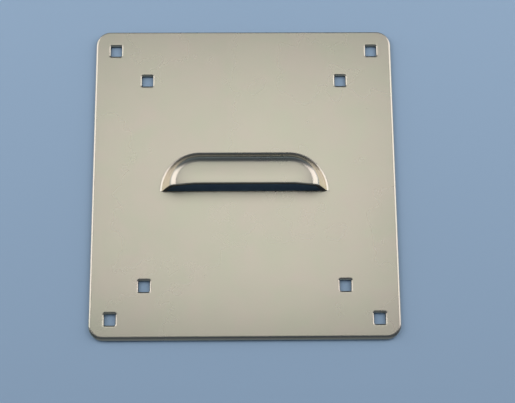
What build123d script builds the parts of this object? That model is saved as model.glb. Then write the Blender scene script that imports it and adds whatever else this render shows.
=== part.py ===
"""Rectangular cover plate with a pressed finger pull.

One sheet of steel. It is blanked with round corners, pierced with eight square holes for
coach bolts, and sheared along one straight line. The metal behind that line is pushed up
into a hood, so that fingers slide in under its lip. The hood is one wall section, drawn
straight along its middle and turned a quarter circle about the lip at each end.

Frame: +Z is the front of the plate, its back lies on Z = 0, +Y points from the lip towards
the back of the hood, and the origin is the centre of the plate's back. Millimetres.
"""

import os
from math import cos, radians, sin

from build123d import *

# The sheet
plate_width = 200.0
plate_length = 210.0
sheet_thickness = 3.0
corner_radius = 9.5
front_edge_round = 1.5
back_edge_round = 0.4

# Square holes, in two rings of four, each ring at one distance from all four edges
hole_side = 7.2
hole_corner_radius = 0.7
hole_edge_bevel = 0.9
outer_hole_inset = 13.5
inner_hole_inset = 35.0

# The hood, measured on the front of the sheet
hood_length = 112.0
hood_depth = 26.7
hood_rise = 17.0
lip_position = -7.0
wall_angle = 70.0
crown_angle = 6.0
shoulder_radius = 6.5
base_radius = 2.5
lip_edge_round = 1.0
slot_edge_round = 0.3

# Worked out from the sizes above
straight_length = hood_length - 2 * hood_depth
lip_height = sheet_thickness + hood_rise
hole_rings = (outer_hole_inset, inner_hole_inset)


def crown_and_wall():
    """Radius of the crown arc and length of the straight wall.

    From the lip outwards the section turns down through the crown angle and on to the wall
    angle, runs straight and turns back level. These two lengths make it end on the front of
    the sheet, one hood depth behind the lip.
    """
    crown_turn = radians(crown_angle)
    wall_turn = radians(wall_angle)
    reach = hood_depth
    reach -= shoulder_radius * (sin(wall_turn) - sin(crown_turn))
    reach -= base_radius * sin(wall_turn)
    fall = hood_rise
    fall -= shoulder_radius * (cos(crown_turn) - cos(wall_turn))
    fall -= base_radius * (1 - cos(wall_turn))
    # reach = crown * sin(crown_turn) + wall * cos(wall_turn)
    # fall = crown * (1 - cos(crown_turn)) + wall * sin(wall_turn)
    scale = cos(crown_turn - wall_turn) - cos(wall_turn)
    crown = (reach * sin(wall_turn) - fall * cos(wall_turn)) / scale
    wall = (fall * sin(crown_turn) - reach * (1 - cos(crown_turn))) / scale
    return crown, wall


crown_radius, wall_length = crown_and_wall()


def hood_section(side_plane):
    """The hood's sheet cut through: its front line, lip to base, made one sheet thick."""
    with BuildSketch(side_plane) as section:
        with BuildLine():
            crown = JernArc((0, lip_height), (1, 0), crown_radius, -crown_angle)
            shoulder = JernArc(crown @ 1, crown % 1, shoulder_radius, crown_angle - wall_angle)
            wall = PolarLine(shoulder @ 1, wall_length, direction=shoulder % 1)
            JernArc(wall @ 1, wall % 1, base_radius, wall_angle)
            offset(amount=sheet_thickness, side=Side.RIGHT)
        make_face()
    return section.sketch


# The sheet: blank with its square holes, then the opening the hood is raised from
with BuildPart() as sheet:
    with BuildSketch():
        RectangleRounded(plate_width, plate_length, corner_radius)
        for inset in hole_rings:
            with GridLocations(plate_width - 2 * inset, plate_length - 2 * inset, 2, 2):
                RectangleRounded(hole_side, hole_side, hole_corner_radius, mode=Mode.SUBTRACT)
    extrude(amount=sheet_thickness)
    front_face = sheet.faces().sort_by(Axis.Z)[-1]
    fillet(front_face.outer_wire().edges(), front_edge_round)
    front_face = sheet.faces().sort_by(Axis.Z)[-1]
    chamfer([edge for rim in front_face.inner_wires() for edge in rim.edges()], hole_edge_bevel)
    back_face = sheet.faces().sort_by(Axis.Z)[0]
    fillet(back_face.outer_wire().edges(), back_edge_round)

    with BuildSketch():
        with Locations((0, lip_position)):
            SlotCenterToCenter(straight_length, 2 * hood_depth)
            Rectangle(hood_length, hood_depth, align=(Align.CENTER, Align.MAX), mode=Mode.SUBTRACT)
    extrude(amount=sheet_thickness, mode=Mode.SUBTRACT)
    slot_face = sheet.faces().filter_by(Plane.XZ).sort_by(lambda face: abs(face.center().Y - lip_position))[0]
    fillet(slot_face.edges().sort_by(Axis.Z)[-1], slot_edge_round)

# The hood: its section drawn along X, then turned about the lip at both ends
with BuildPart() as hood:
    middle_plane = Plane(origin=(0, lip_position, 0), x_dir=(0, 1, 0), z_dir=(1, 0, 0))
    extrude(hood_section(middle_plane), amount=straight_length / 2, both=True)
    for side in (-1, 1):
        end_plane = middle_plane.offset(side * straight_length / 2)
        end_axis = Axis(end_plane.origin, (0, 0, -side))
        revolve(hood_section(end_plane), axis=end_axis, revolution_arc=90)
    front_skin = hood.faces().filter_by(lambda face: face.normal_at().Z > 0.01)
    lip_edges = front_skin.edges().filter_by(lambda edge: edge.bounding_box().max.Y < lip_position + 0.01)
    fillet(lip_edges, lip_edge_round)

# One piece
with BuildPart() as cover_plate:
    add(sheet.part)
    add(hood.part)
cover_plate.part.label = "cover_plate"

os.makedirs("parts", exist_ok=True)
export_step(cover_plate.part, "parts/cover_plate.step")
print("solids", len(cover_plate.part.solids()), "valid", cover_plate.part.is_valid)
print("size", cover_plate.part.bounding_box().size, "volume", cover_plate.part.volume)
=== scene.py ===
# %% [markdown]
# # A steel cover plate with a pressed finger pull
#
# This lesson dresses one CAD part: a flat steel plate with eight square bolt holes and a
# hood pressed up in its middle. The CAD solid is the frame. Here the same sheet is built
# again as a finer mesh, because light on bare metal shows every facet and every edge.

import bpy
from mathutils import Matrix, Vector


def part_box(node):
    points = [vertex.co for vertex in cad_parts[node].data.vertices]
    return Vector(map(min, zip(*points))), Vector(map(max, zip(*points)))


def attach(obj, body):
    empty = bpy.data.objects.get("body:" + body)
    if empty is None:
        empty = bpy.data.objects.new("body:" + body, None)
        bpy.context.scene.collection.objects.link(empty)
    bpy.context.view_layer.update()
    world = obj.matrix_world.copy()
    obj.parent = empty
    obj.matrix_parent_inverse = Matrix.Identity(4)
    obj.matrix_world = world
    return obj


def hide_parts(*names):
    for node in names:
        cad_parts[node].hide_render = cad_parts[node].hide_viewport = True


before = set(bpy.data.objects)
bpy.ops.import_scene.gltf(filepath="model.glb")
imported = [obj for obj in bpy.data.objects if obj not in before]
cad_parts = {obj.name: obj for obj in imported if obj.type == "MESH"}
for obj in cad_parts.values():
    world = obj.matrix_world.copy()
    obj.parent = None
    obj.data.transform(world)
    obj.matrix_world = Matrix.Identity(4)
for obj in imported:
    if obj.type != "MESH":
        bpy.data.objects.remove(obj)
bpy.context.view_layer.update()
print("nodes", sorted(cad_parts))

# %% [markdown]
# ## Sizes
#
# Blender works in metres, so one millimetre gets a name. The plate's width, length and
# total height are read from the CAD node. The rest are the sizes a press shop would write
# on its drawing of the sheet.

# %% Sizes of the sheet
from math import asin, cos, pi, radians, sin

import bmesh
import bpy
from mathutils import Matrix, Vector
from mathutils.geometry import delaunay_2d_cdt

MM = 0.001
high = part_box("cover_plate")[1]
half_width, half_length = high.x, high.y
thickness = 3.0 * MM
corner_radius = 9.5 * MM
hole_side = 7.2 * MM
hole_insets = (13.5 * MM, 35.0 * MM)
print("plate", round(2 * half_width, 4), "by", round(2 * half_length, 4), "m, crown at", round(high.z, 4))

# %% Sizes of the hood
hood_length = 112.0 * MM
hood_depth = 26.7 * MM
hood_rise = 17.0 * MM
lip_y = -7.0 * MM
wall_angle = radians(70)
crown_angle = radians(6)
shoulder_radius = 6.5 * MM
base_radius = 2.5 * MM
pivot_x = hood_length / 2 - hood_depth
crown_z = thickness + hood_rise
print("hood turns about x =", round(pivot_x, 4), "and rises to", round(crown_z, 4))

# %% [markdown]
# ## Rows of points
#
# Every surface of a pressed sheet can be laid out as rows: a row runs along an edge, and
# the next row lies a little further round the bend. Joining two rows gives a band of
# four-sided faces. All rows go into one list, and points that coincide are welded at the
# end, so neighbouring surfaces need to agree only on where their shared row lies.

# %% Helpers for rows and bands
points = []
faces = []
face_finish = []
# Finish 1 marks the cut faces. Their dark colour is partly the steel's own tone and partly painted shade.
PLATED, SHEARED = 0, 1


def add_row(row):
    """Stores the points of a row and returns their numbers."""
    start = len(points)
    points.extend(row)
    return list(range(start, start + len(row)))


def join_rows(row_a, row_b, closed=False, finish=PLATED):
    """Lays a band of faces between two rows with the same number of points."""
    last = len(row_a) if closed else len(row_a) - 1
    for i in range(last):
        j = (i + 1) % len(row_a)
        faces.append((row_a[i], row_a[j], row_b[j], row_b[i]))
        face_finish.append(finish)


def join_all(rows, closed=False, finish=PLATED):
    """Joins each row to the next and returns the numbered rows."""
    numbered = [add_row(row) for row in rows]
    for row_a, row_b in zip(numbered, numbered[1:]):
        join_rows(row_a, row_b, closed, finish)
    return numbered


def ease(value):
    """Goes smoothly from 0 to 1."""
    value = min(1.0, max(0.0, value))
    return value * value * (3 - 2 * value)


print("finishes: 0 plated face, 1 sheared edge")

# %% [markdown]
# ## The outer edge
#
# The blank was cut on a shear. The blade rolls the skin over before it bites, and then
# leaves a straight cut, so the edge is a shallow curve that ends in a crisp line. The cut
# face is coloured dark, partly its own duller steel and partly painted shade for the dark
# line under the edge. The
# roll is widest on the lower edge of this plate, narrow on its upper edge and in between on
# the long sides. It goes smoothly from one to the next round each corner.

# %% Outline of the blank
corner_steps = 14
side_steps = 24
edge_roll = {"upper": 0.6 * MM, "side": 1.5 * MM, "lower": 2.5 * MM}
roll_tilt = radians(56)
back_round = 0.4 * MM
flat_margin = 0.4 * MM


def side_of_outline(start, end, normal, roll):
    """Points along one straight side, without its last point."""
    return [(start.lerp(end, i / side_steps), normal, roll) for i in range(side_steps)]


def corner_of_outline(centre, start_angle, roll_from, roll_to):
    """Points round one corner, without its last point, the roll going from one to the other."""
    corner = []
    for i in range(corner_steps):
        share = i / corner_steps
        angle = start_angle + share * pi / 2
        normal = Vector((cos(angle), sin(angle)))
        roll = roll_from + (roll_to - roll_from) * ease(share)
        corner.append((centre + corner_radius * normal, normal, roll))
    return corner


# %% Walk round the blank
reach_x = half_width - corner_radius
reach_y = half_length - corner_radius
outline = []
turns = (
    (1, 1, "side", "upper"),
    (-1, 1, "upper", "side"),
    (-1, -1, "side", "lower"),
    (1, -1, "lower", "side"),
)
for turn, (sign_x, sign_y, roll_before, roll_after) in enumerate(turns):
    centre = Vector((sign_x * reach_x, sign_y * reach_y))
    outline += corner_of_outline(centre, turn * pi / 2, edge_roll[roll_before], edge_roll[roll_after])
    next_x, next_y = turns[(turn + 1) % 4][:2]
    along = Vector((cos((turn + 1) * pi / 2), sin((turn + 1) * pi / 2)))
    side_start = centre + corner_radius * along
    side_end = Vector((next_x * reach_x, next_y * reach_y)) + corner_radius * along
    outline += side_of_outline(side_start, side_end, along, edge_roll[roll_after])
print("outline of", len(outline), "points")

# %% Rows down the outer edge
roll_steps = 8
back_steps = 4


def outline_row(inset_share, inset_extra, drop_share, height=None):
    """A row round the blank. The shares are of the local roll, and the height is used if given."""
    row = []
    for place, normal, roll in outline:
        spot = place - (inset_share * roll + inset_extra) * normal
        level = thickness - drop_share * roll if height is None else height
        row.append((spot.x, spot.y, level))
    return row


roll_rows = [outline_row(1, flat_margin, 0)]
for step in range(roll_steps + 1):
    angle = step / roll_steps * roll_tilt
    inset_share = 1 - sin(angle) / sin(roll_tilt)
    drop_share = (1 - cos(angle)) / sin(roll_tilt)
    roll_rows.append(outline_row(inset_share, 0, drop_share))
back_rows = []
for step in range(back_steps + 1):
    angle = step / back_steps * pi / 2
    back_rows.append(outline_row(0, back_round * (1 - cos(angle)), 0, back_round * (1 - sin(angle))))
back_rows.append(outline_row(0, back_round + flat_margin, 0, 0))
join_all(roll_rows, closed=True)
join_all([roll_rows[-1], back_rows[0]], closed=True, finish=SHEARED)
join_all(back_rows, closed=True)
front_loops = [roll_rows[0]]
back_loops = [back_rows[-1]]
print("outer edge of", len(roll_rows) + len(back_rows), "rows")

# %% [markdown]
# ## The square holes
#
# A punch drags the skin of the sheet down with it, which leaves a soft round all along the
# front of the hole, while the back of the hole stays sharp. The corners of the punch are
# slightly round as well.

# %% One punched hole
hole_corner = 0.7 * MM
hole_roll = 1.3 * MM
hole_corner_steps = 5
rim_steps = 6


def hole_row(centre, outset, height):
    """A row round a square hole, grown outwards by outset."""
    row = []
    reach = hole_side / 2 - hole_corner
    for turn in range(4):
        for step in range(hole_corner_steps + 1):
            angle = (turn + step / hole_corner_steps) * pi / 2
            sign_x = 1 if turn in (0, 3) else -1
            sign_y = 1 if turn in (0, 1) else -1
            spot_x = centre[0] + sign_x * reach + (hole_corner + outset) * cos(angle)
            spot_y = centre[1] + sign_y * reach + (hole_corner + outset) * sin(angle)
            row.append((spot_x, spot_y, height))
    return row


def punch_hole(centre):
    """Adds the rolled rim and the wall of one hole, and keeps its loops for the flat faces."""
    rim = [hole_row(centre, hole_roll + flat_margin, thickness)]
    for step in range(rim_steps + 1):
        angle = step / rim_steps * pi / 2
        outset, drop = hole_roll * (1 - sin(angle)), hole_roll * (1 - cos(angle))
        rim.append(hole_row(centre, outset, thickness - drop))
    join_all(rim, closed=True)
    join_all([rim[-1], hole_row(centre, 0, 0)], closed=True, finish=SHEARED)
    front_loops.append(rim[0])
    back_loops.append(hole_row(centre, 0, 0))


# %% Punch all eight
hole_centres = []
for inset in hole_insets:
    for sign_x in (-1, 1):
        for sign_y in (-1, 1):
            hole_centres.append((sign_x * (half_width - inset), sign_y * (half_length - inset)))
for centre in hole_centres:
    punch_hole(centre)
print(len(hole_centres), "square holes", round(hole_side * 1000, 1), "mm across")

# %% [markdown]
# ## The hood in section
#
# Cut across, the hood is a nearly flat crown, a tight shoulder, a straight steep wall and
# a hollow bend back into the sheet. The crown's radius and the wall's length follow from
# the other sizes, because the section has to end level with the front of the sheet. The
# inside of the hood is the same line moved in by the thickness of the sheet.

# %% Work out the section
crown_steps, shoulder_steps, wall_steps, base_steps = 10, 14, 6, 14
reach = hood_depth - shoulder_radius * (sin(wall_angle) - sin(crown_angle)) - base_radius * sin(wall_angle)
fall = hood_rise - shoulder_radius * (cos(crown_angle) - cos(wall_angle))
fall -= base_radius * (1 - cos(wall_angle))
scale = cos(crown_angle - wall_angle) - cos(wall_angle)
crown_radius = (reach * sin(wall_angle) - fall * cos(wall_angle)) / scale
wall_length = (fall * sin(crown_angle) - reach * (1 - cos(crown_angle))) / scale


def bend(start, radius, from_tilt, to_tilt, steps):
    """Points (distance, height, tilt) of an arc that goes on from start."""
    arc = []
    for step in range(1, steps + 1):
        tilt = from_tilt + (to_tilt - from_tilt) * step / steps
        across = radius * abs(sin(tilt) - sin(from_tilt))
        down = radius * abs(cos(from_tilt) - cos(tilt))
        arc.append((start[0] + across, start[1] - down, tilt))
    return arc


section = bend((0, crown_z), crown_radius, 0, crown_angle, crown_steps)
section += bend(section[-1], shoulder_radius, crown_angle, wall_angle, shoulder_steps)
shoulder_end = section[-1]
for step in range(1, wall_steps + 1):
    down_wall = wall_length * step / wall_steps
    across, down = down_wall * cos(wall_angle), down_wall * sin(wall_angle)
    section.append((shoulder_end[0] + across, shoulder_end[1] - down, wall_angle))
section += bend(section[-1], base_radius, wall_angle, 0, base_steps)
print("crown radius", round(crown_radius, 4), "wall", round(wall_length, 4))
print("section ends at", [round(v, 5) for v in section[-1]])

# %% [markdown]
# ## The hood's two skins
#
# Each row of the hood keeps one distance from the lip: a quarter circle, a straight run
# and a quarter circle back. The rows stop a little short of the lip, to leave room for its
# rounded edge, which fades out down the walls. Near the lip the free edge of the sheet
# droops slightly, as it does when the punch lets go. Raising the hood also draws its lip
# back by about a millimetre, except at both ends, where the walls hold it. The free ends of
# the walls lean in a little, which makes the shoulders look softer there.

# %% Rows of one skin
arc_steps = 26
middle_steps = 30
lip_roll = 0.7 * MM
lip_inner_round = 0.25 * MM
lip_droop = 0.2 * MM
droop_width = 5.5 * MM
lip_bow = 0.9 * MM
bow_width = 14.0 * MM
bow_hold = 10.0 * MM
bow_fade = 15.0 * MM
wall_lean = 1.4 * MM
lean_width = 14.0 * MM


def formed(x, y, z):
    """Moves a point of the true section to where the pressing leaves it."""
    raised = ease((z - thickness) / hood_rise)
    hang = lip_droop * raised * max(0.0, 1 - (y - lip_y) / droop_width) ** 2
    held = ease((hood_length / 2 - bow_hold - abs(x)) / bow_fade)
    pull = lip_bow * raised * held * max(0.0, 1 - (y - lip_y) / bow_width) ** 2
    lean = wall_lean * raised**2 * max(0.0, 1 - (y - lip_y) / lean_width) ** 2
    return (x * (1 - lean / (hood_length / 2)), y + pull, z - hang)


def hood_row(distance, height, setback):
    """A row of the hood at one distance from the lip, starting and ending at the setback."""
    first = asin(min(1.0, setback / distance))
    plan = []
    for step in range(arc_steps + 1):
        angle = first + (pi / 2 - first) * step / arc_steps
        plan.append((-pivot_x - distance * cos(angle), lip_y + distance * sin(angle)))
    middle = [(-pivot_x + 2 * pivot_x * i / middle_steps, lip_y + distance) for i in range(1, middle_steps)]
    mirrored = [(-x, y) for x, y in reversed(plan)]
    return [formed(x, y, height) for x, y in plan + middle + mirrored]


def setbacks(skin, largest):
    """The setback of each row: full on the crown and fading to nothing at the foot."""
    foot = skin[-1][1]
    return [largest * ease((height - foot) / hood_rise) for _, height, _ in skin]


# %% Front skin and inner skin
front_skin = [(lip_roll, crown_z, 0.0)] + section[1:]
inner_line = [(d - thickness * sin(tilt), z - thickness * cos(tilt), tilt) for d, z, tilt in section[1:]]
inner_skin = [(lip_inner_round, crown_z - thickness, 0.0)] + inner_line
front_setbacks = setbacks(front_skin, lip_roll)
inner_setbacks = setbacks(inner_skin, lip_inner_round)
front_rows = [hood_row(d, z, back) for (d, z, _), back in zip(front_skin, front_setbacks)]
inner_rows = [hood_row(d, z, back) for (d, z, _), back in zip(inner_skin, inner_setbacks)]
join_all(front_rows)
join_all(inner_rows)
print("hood skins of", len(front_rows), "rows by", len(front_rows[0]), "points")

# %% [markdown]
# ## The lip
#
# The lip is a cut edge. From the front skin the sheet rolls over into the cut face, runs
# down it and turns a small corner into the inside. One column of points per place on the
# lip describes that, from the left foot over the top to the right foot.

# %% Columns round the lip
lip_steps = 7


def lip_rail(skin, rows, setback_of_row, sign):
    """Places along the edge of a skin, with the skin's outward normal and the setback there."""
    rail = []
    for k in range(len(rows) - 1, 0, -1):
        tilt = skin[k][2]
        rail.append((Vector(rows[k][0]), sign * Vector((-sin(tilt), 0, cos(tilt))), setback_of_row[k]))
    rail += [(Vector(spot), sign * Vector((0, 0, 1)), setback_of_row[0]) for spot in rows[0]]
    for k in range(1, len(rows)):
        tilt = skin[k][2]
        rail.append((Vector(rows[k][-1]), sign * Vector((sin(tilt), 0, cos(tilt))), setback_of_row[k]))
    return rail


def rounded(place, normal, radius):
    """Points that roll from a skin over into the cut face, which looks along -Y."""
    centre = place - radius * normal
    forward = Vector((0, -1, 0))
    angles = [step / lip_steps * pi / 2 for step in range(lip_steps + 1)]
    return [centre + radius * (normal * cos(a) + forward * sin(a)) for a in angles]


# %% Close the lip
front_rail = lip_rail(front_skin, front_rows, front_setbacks, 1)
inner_rail = lip_rail(inner_skin, inner_rows, inner_setbacks, -1)
outer_roll = [rounded(*entry) for entry in front_rail]
inner_roll = [rounded(*entry) for entry in inner_rail]
outer_lines = [[tuple(column[k]) for column in outer_roll] for k in range(lip_steps + 1)]
inner_lines = [[tuple(column[k]) for column in inner_roll] for k in range(lip_steps + 1)]
join_all(outer_lines)
join_all(inner_lines)
join_all([outer_lines[-1], inner_lines[-1]], finish=SHEARED)
print("lip of", len(front_rail), "columns")

# %% [markdown]
# ## The slot
#
# Under the lip the plate ends in the other half of the same cut. Its edge is rolled a
# little, and it stands a hair away from the lip's cut face, which closes up at both ends
# where the cut stops. The pull of the punch also leaves the plate very slightly raised
# along the cut. That flare is only half a millimetre high, but on bare metal even a small
# tilt shows, so it gets its own rows: each row is a distance from the cut, with the height
# of a smooth ramp at that distance. The back is left flat, where nobody sees the difference.

# %% The plate's side of the cut
slot_roll = 0.25 * MM
slot_gap = 0.05 * MM
slot_fade = 4.0 * MM
slot_columns = 80
slot_roll_steps = 6
flare_width = 9.0 * MM
flare_height = 0.5 * MM
flare_steps = 8


def flare(x, distance):
    """How far the plate is raised at a place beside the cut. It fades out at both ends."""
    fade = ease((hood_length / 2 - abs(x)) / (2 * slot_fade))
    nearness = max(0.0, 1 - distance / flare_width)
    return flare_height * fade * nearness**2


def slot_row(turn, extra=0.0, height=None):
    """A row along the cut, part of the way round its rolled edge."""
    row = []
    for column in range(slot_columns + 1):
        x = -hood_length / 2 * cos(column / slot_columns * pi)
        fade = ease((hood_length / 2 - abs(x)) / slot_fade)
        roll = slot_roll * fade
        distance = roll * (1 - sin(turn)) + extra
        y = lip_y - slot_gap * fade - distance
        level = thickness + flare(x, distance) - roll * (1 - cos(turn))
        row.append((x, y, level if height is None else height))
    return row


slot_rows = [slot_row(0, flare_width + flat_margin)]
slot_rows += [slot_row(0, flare_width * (1 - step / flare_steps)) for step in range(flare_steps)]
slot_rows += [slot_row(step / slot_roll_steps * pi / 2) for step in range(slot_roll_steps + 1)]
slot_foot = slot_row(pi / 2, height=0.0)
join_all(slot_rows)
join_all([slot_rows[-1], slot_foot], finish=SHEARED)
print("slot", round(hood_length * 1000), "mm long, flared over", round(flare_width * 1000), "mm")

# %% [markdown]
# ## The flat faces
#
# What is left is flat: the front and the back of the sheet, each with an outer loop, eight
# square loops and the loop round the hood. Delaunay triangulation fills such a face. It
# says which loops each triangle lies in, and only those inside the outer loop alone stay.
# A narrow flat margin round every loop keeps the shading of the big face level.

# %% Loops round the hood
hood_margin = 1.2 * MM


def foot_margin(height):
    """A flat row just outside the foot of the hood."""
    return hood_row(hood_depth + hood_margin, height, 0.0)


front_margin = foot_margin(thickness)
back_margin = foot_margin(0.0)
join_all([front_rows[-1], front_margin])
join_all([inner_rows[-1], back_margin])
right_side = [row[-1] for row in slot_rows[1:flare_steps + 2]]
left_side = [row[0] for row in slot_rows[1:flare_steps + 2]]
front_loops.append(slot_rows[0] + right_side + front_margin[::-1] + left_side[::-1])
back_loops.append(slot_foot + back_margin[::-1])
print(len(front_loops), "front loops,", len(back_loops), "back loops")

# %% Fill the flat faces
INSIDE_ONLY = 1
same_spot = 1e-7


def fill_flat(loops, height):
    """Fills the face between an outer loop and the loops inside it with triangles."""
    plan, rings = [], []
    for loop in loops:
        ring = []
        for x, y, _ in loop:
            ring.append(len(plan))
            plan.append(Vector((x, y)))
        rings.append(ring)
    spots, _, triangles, _, _, sources = delaunay_2d_cdt(plan, [], rings, INSIDE_ONLY, same_spot)
    numbers = add_row([(spot.x, spot.y, height) for spot in spots])
    kept = [tri for tri, source in zip(triangles, sources) if list(source) == [0]]
    for triangle in kept:
        faces.append(tuple(numbers[k] for k in triangle))
        face_finish.append(PLATED)
    return len(kept)


print("front", fill_flat(front_loops, thickness), "triangles, back", fill_flat(back_loops, 0.0))

# %% [markdown]
# ## Weld the sheet
#
# The rows are welded where they touch, and faces that shrank to nothing at the ends of the
# cut are cleared. A closed sheet has two faces at every edge, so the count of open edges
# is a good test. Smooth shading stays off across real corners.

# %% Weld and test
weld_distance = 0.002 * MM
sharp_angle = radians(32)
sheet_mesh = bpy.data.meshes.new("pressed_sheet")
sheet_mesh.from_pydata(points, [], faces)
for polygon, finish in zip(sheet_mesh.polygons, face_finish):
    polygon.material_index = finish
weld = bmesh.new()
weld.from_mesh(sheet_mesh)
bmesh.ops.remove_doubles(weld, verts=weld.verts, dist=weld_distance)
bmesh.ops.dissolve_degenerate(weld, edges=weld.edges, dist=weld_distance)
bmesh.ops.recalc_face_normals(weld, faces=weld.faces)
open_edges = [edge for edge in weld.edges if len(edge.link_faces) != 2]
weld.to_mesh(sheet_mesh)
weld.free()
sheet_mesh.shade_smooth()
sheet_mesh.set_sharp_from_angle(angle=sharp_angle)
print("faces", len(sheet_mesh.polygons), "edges not shared by two faces", len(open_edges))

# %% Put the sheet in the frame
pressed_sheet = bpy.data.objects.new("pressed_sheet", sheet_mesh)
bpy.context.scene.collection.objects.link(pressed_sheet)
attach(pressed_sheet, "root")
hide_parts("cover_plate")
print("sheet rides on root and stands for cover_plate")

# %% [markdown]
# ## Effects shared by the finishes
#
# Rolled steel has a fine grain along the way it was rolled, and its thin plating is never
# quite one colour. Both show on the plated faces and on the cut edges, so each is a node
# group with named inputs and outputs, built once. The groups give out only masks and
# values, and the shaders stay in the materials.

# %% Helpers for node groups


def new_group(name, inputs, outputs):
    """An empty node group with float inputs, given with their defaults, and float outputs."""
    group = bpy.data.node_groups.new(name, "ShaderNodeTree")
    group.interface.new_socket("Place", in_out="INPUT", socket_type="NodeSocketVector")
    for label, default in inputs.items():
        socket = group.interface.new_socket(label, in_out="INPUT", socket_type="NodeSocketFloat")
        socket.default_value = default
    for label in outputs:
        group.interface.new_socket(label, in_out="OUTPUT", socket_type="NodeSocketFloat")
    return group, group.nodes.new("NodeGroupInput"), group.nodes.new("NodeGroupOutput")


def add_node(tree, kind, settings=None, **links):
    """Adds a node. Settings go to its properties, and links to its sockets as values or outputs."""
    node = tree.nodes.new(kind)
    for label, value in (settings or {}).items():
        setattr(node, label, value)
    for label, value in links.items():
        key = int(label[1:]) if label[0] == "i" and label[1:].isdigit() else label.replace("_", " ")
        if isinstance(value, bpy.types.NodeSocket):
            tree.links.new(value, node.inputs[key])
        else:
            node.inputs[key].default_value = value
    return node


print("helpers ready")

# %% Rolled grain group
grain, grain_in, grain_out = new_group("rolled grain", {"Length": 12.0, "Fineness": 4500.0}, ["Height"])
place, length, fineness = (grain_in.outputs[label] for label in ("Place", "Length", "Fineness"))
stretch = add_node(grain, "ShaderNodeMath", {"operation": "DIVIDE"}, i0=1.0, i1=length).outputs[0]
squeeze = add_node(grain, "ShaderNodeCombineXYZ", X=1.0, Y=stretch, Z=1.0).outputs[0]
lengthwise = add_node(grain, "ShaderNodeVectorMath", {"operation": "MULTIPLY"}, i0=place, i1=squeeze)
fibres = add_node(
    grain, "ShaderNodeTexNoise", Vector=lengthwise.outputs[0], Scale=fineness, Detail=3.0, Roughness=0.6
)
grain.links.new(fibres.outputs["Fac"], grain_out.inputs["Height"])
print("rolled grain:", len(grain.nodes), "nodes")

# %% Plating bloom group
bloom_sockets = {"Patch Scale": 38.0, "Contrast": 1.0}
bloom, bloom_in, bloom_out = new_group("plating bloom", bloom_sockets, ["Warm Cool", "Cloud"])
place, patch_scale, contrast = (bloom_in.outputs[label] for label in ("Place", "Patch Scale", "Contrast"))
patches = add_node(bloom, "ShaderNodeTexNoise", Vector=place, Scale=patch_scale, Detail=3.0, Roughness=0.55)
patches.inputs["Distortion"].default_value = 0.4
centred = add_node(bloom, "ShaderNodeMath", {"operation": "SUBTRACT"}, i0=patches.outputs["Fac"], i1=0.5)
spread = add_node(
    bloom, "ShaderNodeMath", {"operation": "MULTIPLY_ADD"}, i0=centred.outputs[0], i1=contrast, i2=0.5
)
spread.use_clamp = True
moved = add_node(bloom, "ShaderNodeVectorMath", {"operation": "ADD"}, i0=place, i1=(0.31, 0.17, 0.05))
clouds = add_node(bloom, "ShaderNodeTexNoise", Vector=moved.outputs[0], Scale=14.0, Detail=4.0, Roughness=0.6)
bloom.links.new(spread.outputs[0], bloom_out.inputs["Warm Cool"])
bloom.links.new(clouds.outputs["Fac"], bloom_out.inputs["Cloud"])
print("plating bloom:", len(bloom.nodes), "nodes")

# %% [markdown]
# ## The plated finish
#
# Bright zinc plating with a clear pass is a warm grey metal with a satin gloss. It is a
# fully metallic Principled BSDF. Its colour drifts a little between a greener and a pinker
# grey, its roughness follows the clouds, and the grain goes into the bump.

# %% Plated face material
green_grey = (0.595, 0.580, 0.440, 1)
pink_grey = (0.635, 0.570, 0.460, 1)
glossiest, dullest = 0.24, 0.31
plated = bpy.data.materials.new("plated face")
plated.use_nodes = True
tree = plated.node_tree
shader = tree.nodes["Principled BSDF"]
place = add_node(tree, "ShaderNodeTexCoord").outputs["Object"]
grain_node = add_node(
    tree, "ShaderNodeGroup", {"node_tree": grain}, Place=place, Length=12.0, Fineness=3800.0
)
bloom_node = add_node(
    tree, "ShaderNodeGroup", {"node_tree": bloom}, Place=place, Patch_Scale=38.0, Contrast=2.2
)
tint = add_node(tree, "ShaderNodeMix", {"data_type": "RGBA"}, i0=bloom_node.outputs["Warm Cool"])
tint.inputs[6].default_value = green_grey
tint.inputs[7].default_value = pink_grey
gloss = add_node(tree, "ShaderNodeMapRange", i0=bloom_node.outputs["Cloud"], i3=glossiest, i4=dullest)
bump = add_node(tree, "ShaderNodeBump", Height=grain_node.outputs["Height"], Strength=0.10, Distance=0.00005)
tree.links.new(tint.outputs[2], shader.inputs["Base Color"])
tree.links.new(gloss.outputs[0], shader.inputs["Roughness"])
tree.links.new(bump.outputs[0], shader.inputs["Normal"])
shader.inputs["Metallic"].default_value = 1.0
print("plated face:", len(tree.nodes), "nodes")

# %% Sheared edge material, its dark colour partly painted shade
sheared_with_painted_shade = bpy.data.materials.new("sheared edge")
sheared_with_painted_shade.use_nodes = True
tree = sheared_with_painted_shade.node_tree
shader = tree.nodes["Principled BSDF"]
place = add_node(tree, "ShaderNodeTexCoord").outputs["Object"]
grain_node = add_node(tree, "ShaderNodeGroup", {"node_tree": grain}, Place=place, Length=0.3, Fineness=2600.0)
bump = add_node(tree, "ShaderNodeBump", Height=grain_node.outputs["Height"], Strength=0.35, Distance=0.00008)
# The dark base colour is partly the cut steel's own duller tone and partly painted shade: it stands in for
# the dark shadow line under the plate's edge and inside the holes.
shader.inputs["Base Color"].default_value = (0.15, 0.15, 0.145, 1)
shader.inputs["Roughness"].default_value = 0.42
shader.inputs["Metallic"].default_value = 1.0
tree.links.new(bump.outputs[0], shader.inputs["Normal"])
sheet_mesh.materials.append(plated)
sheet_mesh.materials.append(sheared_with_painted_shade)
print("materials on the sheet:", [material.name for material in sheet_mesh.materials])

# %% [markdown]
# ## Floor, light and camera
#
# The plate lies on a plain pale floor. Bare metal shows the room, so the room is simple:
# one wide soft panel overhead, a bright one on each side, a faint one in front and dim air
# behind. The camera looks down from a little in front of the plate's middle.

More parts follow.
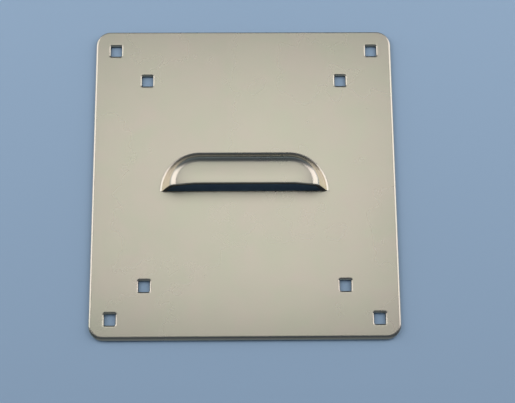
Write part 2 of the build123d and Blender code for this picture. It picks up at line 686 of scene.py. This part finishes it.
# %% Floor
floor_half = 1.5
floor_mesh = bpy.data.meshes.new("floor")
floor_signs = ((-1, -1), (1, -1), (1, 1), (-1, 1))
floor_corners = [(sign_x * floor_half, sign_y * floor_half, 0) for sign_x, sign_y in floor_signs]
floor_mesh.from_pydata(floor_corners, [], [(0, 1, 2, 3)])
floor = bpy.data.objects.new("floor", floor_mesh)
bpy.context.scene.collection.objects.link(floor)
floor_finish = bpy.data.materials.new("pale floor")
floor_finish.use_nodes = True
shader = floor_finish.node_tree.nodes["Principled BSDF"]
shader.inputs["Base Color"].default_value = (0.47, 0.66, 0.82, 1)
shader.inputs["Roughness"].default_value = 0.9
floor_mesh.materials.append(floor_finish)
print("floor", 2 * floor_half, "m wide")

# %% Soft panels


def soft_panel(name, place, aim, width, depth, brightness, colour=(1, 1, 1)):
    """A rectangular area light of an even brightness that faces a point."""
    light = bpy.data.lights.new(name, "AREA")
    light.shape = "RECTANGLE"
    light.size = width
    light.size_y = depth
    light.energy = brightness * pi * width * depth
    light.color = colour
    panel = bpy.data.objects.new(name, light)
    panel.location = place
    panel.rotation_euler = (Vector(aim) - Vector(place)).to_track_quat("-Z", "Y").to_euler()
    bpy.context.scene.collection.objects.link(panel)
    return panel


overhead_y = 0.28
side_x, side_y, side_z = 0.95, 0.50, 0.58
side_aim = (0.0, 0.35, 0.0)
side_panel = {"width": 1.1, "depth": 1.4, "brightness": 1.6, "colour": (1.0, 0.965, 1.04)}
soft_panel("overhead panel", (0.0, overhead_y, 1.0), (0.0, overhead_y, 0.0), 0.66, 0.58, brightness=1.0)
soft_panel("left panel", (-side_x, side_y, side_z), side_aim, **side_panel)
soft_panel("right panel", (side_x, side_y, side_z), side_aim, **side_panel)
soft_panel("front panel", (0.0, -1.2, 0.5), (0.0, 0.0, 0.0), 1.6, 0.8, brightness=0.12)
print("four soft panels")

# %% Dim air around them
world = bpy.data.worlds.new("studio")
bpy.context.scene.world = world
world.use_nodes = True
air = world.node_tree.nodes["Background"]
air.inputs["Color"].default_value = (0.50, 0.66, 0.95, 1)
air.inputs["Strength"].default_value = 0.11
print("world strength", round(air.inputs["Strength"].default_value, 2))

# %% Camera
camera_distance = 0.7222
camera_tilt = 0.24735
camera_turn = -0.01522
camera_roll = -0.00808
camera_target = Vector((0.00854, -0.01421, thickness))
back = Vector((sin(camera_turn), -sin(camera_tilt) * cos(camera_turn), cos(camera_tilt) * cos(camera_turn)))
right = Vector((0, 1, 0)).cross(back).normalized()
up = back.cross(right)
level_right = right * cos(camera_roll) + up * sin(camera_roll)
level_up = up * cos(camera_roll) - right * sin(camera_roll)
lens = bpy.data.cameras.new("camera")
lens.sensor_width = 36.0
lens.lens = 76.9
camera = bpy.data.objects.new("camera", lens)
axes = Matrix((level_right, level_up, back)).transposed().to_4x4()
camera.matrix_world = Matrix.Translation(camera_target + camera_distance * back) @ axes
bpy.context.scene.collection.objects.link(camera)
bpy.context.scene.camera = camera
bpy.context.scene.view_settings.view_transform = "Standard"
print("camera", [round(v, 3) for v in camera.location])
